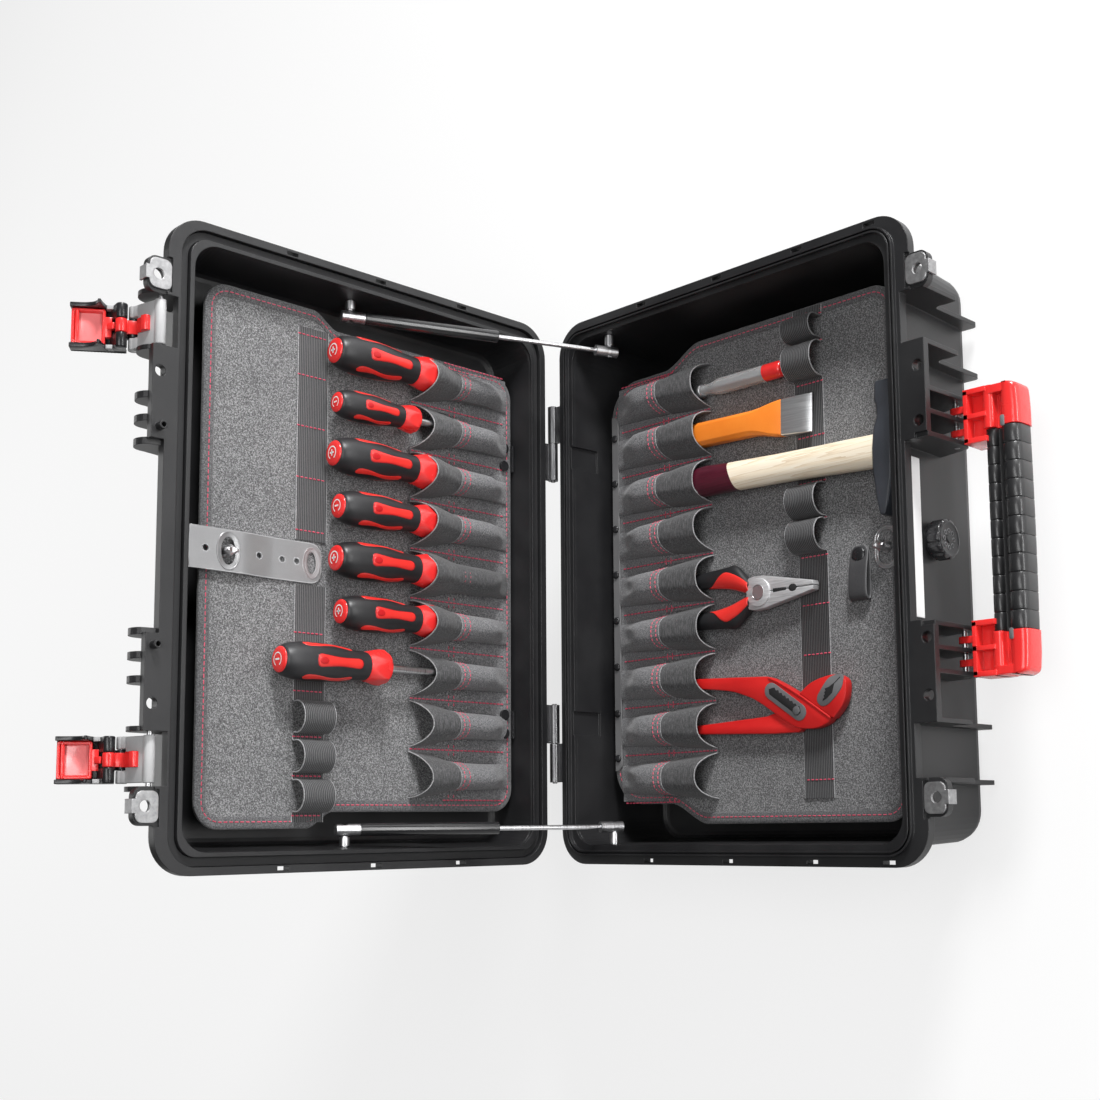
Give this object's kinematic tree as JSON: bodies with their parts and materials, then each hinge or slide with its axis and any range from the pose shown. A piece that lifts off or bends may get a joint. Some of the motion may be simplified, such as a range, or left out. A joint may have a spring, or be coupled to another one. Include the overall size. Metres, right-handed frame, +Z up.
{
  "type": "hard tool case",
  "caption": "Hard plastic tool case, open, with a lid on gas struts, red latches, a folding handle, two pocketed tool boards and hand tools.",
  "frame": {"origin": "centre of the raised panel under the base that the case rests on", "axes": "+Z up from the rest surface, +X along the hinge line, -Y towards the carrying handle"},
  "size_m": [0.474, 0.4995, 0.5364],
  "materials": {
    "shell_plastic": "moulded dark charcoal polypropylene with a fine grain",
    "seal_rubber": "soft black sealing cord",
    "steel": "zinc-plated steel",
    "plate_steel": "matt pale steel plate",
    "strut_black": "satin black paint",
    "red_plastic": "smooth red plastic",
    "latch_grey": "grey plastic",
    "latch_black": "smooth black plastic",
    "grip_rubber": "soft black ribbed grip",
    "label_white": "blank white plate",
    "board_fabric": "speckled grey felted fabric over a stiff board",
    "pocket_fabric": "speckled grey fabric with a stitched edge",
    "elastic_web": "dark woven elastic band",
    "strap_web": "light grey smooth strap",
    "tab_leather": "dark folded tab",
    "driver_grip": "black and red two-part grips",
    "tester_clear": "clear pale plastic",
    "chisel_steel": "orange painted steel",
    "wood": "varnished pale wood",
    "hammer_steel": "dark forged steel",
    "pliers_steel": "polished tool steel with grips",
    "pump_red": "red dipped handles and steel jaws"
  },
  "bodies": {
    "base": {"base_shell": "shell_plastic", "base_hinge_leaves": "steel", "hinge_pins": "steel", "base_padlock_plates": "plate_steel", "base_strut_studs": "steel", "handle_pins": "steel", "valve_body": "shell_plastic", "label_plate": "label_white"},
    "lid": {"lid_shell": "shell_plastic", "lid_seal": "seal_rubber", "lid_hinge_leaves": "steel", "lid_padlock_plates": "plate_steel", "lid_strut_studs": "steel", "latch_pins": "steel", "lid_board": "board_fabric", "lid_pockets": "pocket_fabric", "lid_elastic": "elastic_web", "lid_board_snaps": "latch_black", "lid_board_clips": "latch_black", "strap_hinge": "steel"},
    "lid_strap": {"lid_strap": "strap_web"},
    "lid_turnlock": {"lid_turnlock": "steel"},
    "base_turnlock": {"base_turnlock": "steel"},
    "valve_cap": {"valve_cap": "latch_black"},
    "handle": {"handle_brackets": "red_plastic", "handle_grip": "grip_rubber"},
    "base_board": {"base_board": "board_fabric", "base_board_rail": "strap_web", "base_board_rivets": "steel", "base_pockets": "pocket_fabric", "base_elastic": "elastic_web", "pull_tab": "tab_leather", "hammer_handle": "wood", "hammer_head": "hammer_steel"},
    "voltage_tester": {"voltage_tester": "tester_clear"},
    "cold_chisel": {"cold_chisel": "chisel_steel"},
    "combination_pliers": {"combination_pliers": "pliers_steel"},
    "water_pump_pliers": {"water_pump_pliers": "pump_red"},
    "strut_rod_right": {"strut_rod_right": "steel"},
    "strut_cylinder_right": {"strut_cylinder_right": "strut_black", "strut_socket_right": "steel"},
    "latch_arm_right": {"latch_arm_right": "latch_grey", "latch_lever_pin_right": "steel"},
    "latch_lever_right": {"latch_lever_right": "latch_black"},
    "latch_lock_right": {"latch_lock_right": "red_plastic"},
    "strut_rod_left": {"strut_rod_left": "steel"},
    "strut_cylinder_left": {"strut_cylinder_left": "strut_black", "strut_socket_left": "steel"},
    "latch_arm_left": {"latch_arm_left": "latch_grey", "latch_lever_pin_left": "steel"},
    "latch_lever_left": {"latch_lever_left": "latch_black"},
    "latch_lock_left": {"latch_lock_left": "red_plastic"},
    "screwdriver_1": {"screwdriver_1": "driver_grip"},
    "screwdriver_2": {"screwdriver_2": "driver_grip"},
    "screwdriver_3": {"screwdriver_3": "driver_grip"},
    "screwdriver_4": {"screwdriver_4": "driver_grip"},
    "screwdriver_5": {"screwdriver_5": "driver_grip"},
    "screwdriver_6": {"screwdriver_6": "driver_grip"},
    "screwdriver_7": {"screwdriver_7": "driver_grip"}
  },
  "joints": [
    {"name": "lid_hinge", "type": "hinge", "parent": "base", "child": "lid", "pos_m": [0, 0.192, 0.115], "axis": [-1, 0, 0], "range_deg": [-90, 0]},
    {"name": "strut_swing_right", "type": "hinge", "parent": "base", "child": "strut_rod_right", "pos_m": [0.206, 0.13, 0.105], "axis": [-1, 0, 0], "range_deg": [-99, 0]},
    {"name": "strut_extend_right", "type": "slide", "parent": "strut_rod_right", "child": "strut_cylinder_right", "axis": [0, 0.3616, 0.9323], "range_m": [-0.0843, 0]},
    {"name": "latch_arm_hinge_right", "type": "hinge", "parent": "lid", "child": "latch_arm_right", "pos_m": [0.156, 0.2, 0.491], "axis": [1, 0, 0], "range_deg": [0, 160]},
    {"name": "latch_lever_hinge_right", "type": "hinge", "parent": "latch_arm_right", "child": "latch_lever_right", "pos_m": [0.156, 0.22739, 0.49682], "axis": [-1, 0, 0], "range_deg": [-40, 44]},
    {"name": "latch_lock_slide_right", "type": "slide", "parent": "latch_lever_right", "child": "latch_lock_right", "axis": [0, 0.5592, 0.829], "range_m": [0, 0.005]},
    {"name": "strut_swing_left", "type": "hinge", "parent": "base", "child": "strut_rod_left", "pos_m": [-0.206, 0.13, 0.105], "axis": [-1, 0, 0], "range_deg": [-99, 0]},
    {"name": "strut_extend_left", "type": "slide", "parent": "strut_rod_left", "child": "strut_cylinder_left", "axis": [0, 0.3616, 0.9323], "range_m": [-0.0843, 0]},
    {"name": "latch_arm_hinge_left", "type": "hinge", "parent": "lid", "child": "latch_arm_left", "pos_m": [-0.156, 0.2, 0.491], "axis": [1, 0, 0], "range_deg": [0, 160]},
    {"name": "latch_lever_hinge_left", "type": "hinge", "parent": "latch_arm_left", "child": "latch_lever_left", "pos_m": [-0.156, 0.22739, 0.49682], "axis": [-1, 0, 0], "range_deg": [-40, 44]},
    {"name": "latch_lock_slide_left", "type": "slide", "parent": "latch_lever_left", "child": "latch_lock_left", "axis": [0, 0.5592, 0.829], "range_m": [0, 0.005]},
    {"name": "handle_hinge", "type": "hinge", "parent": "base", "child": "handle", "pos_m": [0, -0.1865, 0.064], "axis": [1, 0, 0], "range_deg": [0, 88]},
    {"name": "valve_turn", "type": "hinge", "parent": "base", "child": "valve_cap", "pos_m": [0, -0.166, 0.065], "axis": [0, -1, 0], "range_deg": [0, 270]},
    {"name": "base_board_lift", "type": "hinge", "parent": "base", "child": "base_board", "pos_m": [0, 0.158, 0.071], "axis": [-1, 0, 0], "range_deg": [0, 35]},
    {"name": "base_turnlock_turn", "type": "hinge", "parent": "base", "child": "base_turnlock", "pos_m": [0, -0.129, 0.073], "axis": [0, 0, 1], "range_deg": [0, 90]},
    {"name": "lid_turnlock_turn", "type": "hinge", "parent": "lid", "child": "lid_turnlock", "pos_m": [0, 0.216, 0.426], "axis": [0, -1, 0], "range_deg": [0, 90]},
    {"name": "lid_strap_hinge", "type": "hinge", "parent": "lid", "child": "lid_strap", "pos_m": [0, 0.212, 0.462], "axis": [-1, 0, 0], "range_deg": [0, 60]},
    {"name": "screwdriver_pull_1", "type": "slide", "parent": "lid", "child": "screwdriver_1", "axis": [0, 0, 1], "range_m": [0, 0.04]},
    {"name": "screwdriver_pull_2", "type": "slide", "parent": "lid", "child": "screwdriver_2", "axis": [0, 0, 1], "range_m": [0, 0.04]},
    {"name": "screwdriver_pull_3", "type": "slide", "parent": "lid", "child": "screwdriver_3", "axis": [0, 0, 1], "range_m": [0, 0.04]},
    {"name": "screwdriver_pull_4", "type": "slide", "parent": "lid", "child": "screwdriver_4", "axis": [0, 0, 1], "range_m": [0, 0.04]},
    {"name": "screwdriver_pull_5", "type": "slide", "parent": "lid", "child": "screwdriver_5", "axis": [0, 0, 1], "range_m": [0, 0.04]},
    {"name": "screwdriver_pull_6", "type": "slide", "parent": "lid", "child": "screwdriver_6", "axis": [0, 0, 1], "range_m": [0, 0.04]},
    {"name": "screwdriver_pull_7", "type": "slide", "parent": "lid", "child": "screwdriver_7", "axis": [0, 0, 1], "range_m": [0, 0.04]},
    {"name": "voltage_tester_pull", "type": "slide", "parent": "base_board", "child": "voltage_tester", "axis": [0, -1, 0], "range_m": [0, 0.04]},
    {"name": "cold_chisel_pull", "type": "slide", "parent": "base_board", "child": "cold_chisel", "axis": [0, -1, 0], "range_m": [0, 0.04]},
    {"name": "combination_pliers_pull", "type": "slide", "parent": "base_board", "child": "combination_pliers", "axis": [0, -1, 0], "range_m": [0, 0.025]},
    {"name": "water_pump_pliers_pull", "type": "slide", "parent": "base_board", "child": "water_pump_pliers", "axis": [0, -1, 0], "range_m": [0, 0.04]}
  ],
  "couplings": [
    {"joint": "strut_swing_right", "follows": "lid_hinge", "ratio": 1.0987},
    {"joint": "strut_extend_right", "follows": "lid_hinge", "m_per_rad": 0.053596},
    {"joint": "strut_swing_left", "follows": "lid_hinge", "ratio": 1.0987},
    {"joint": "strut_extend_left", "follows": "lid_hinge", "m_per_rad": 0.053596}
  ]
}
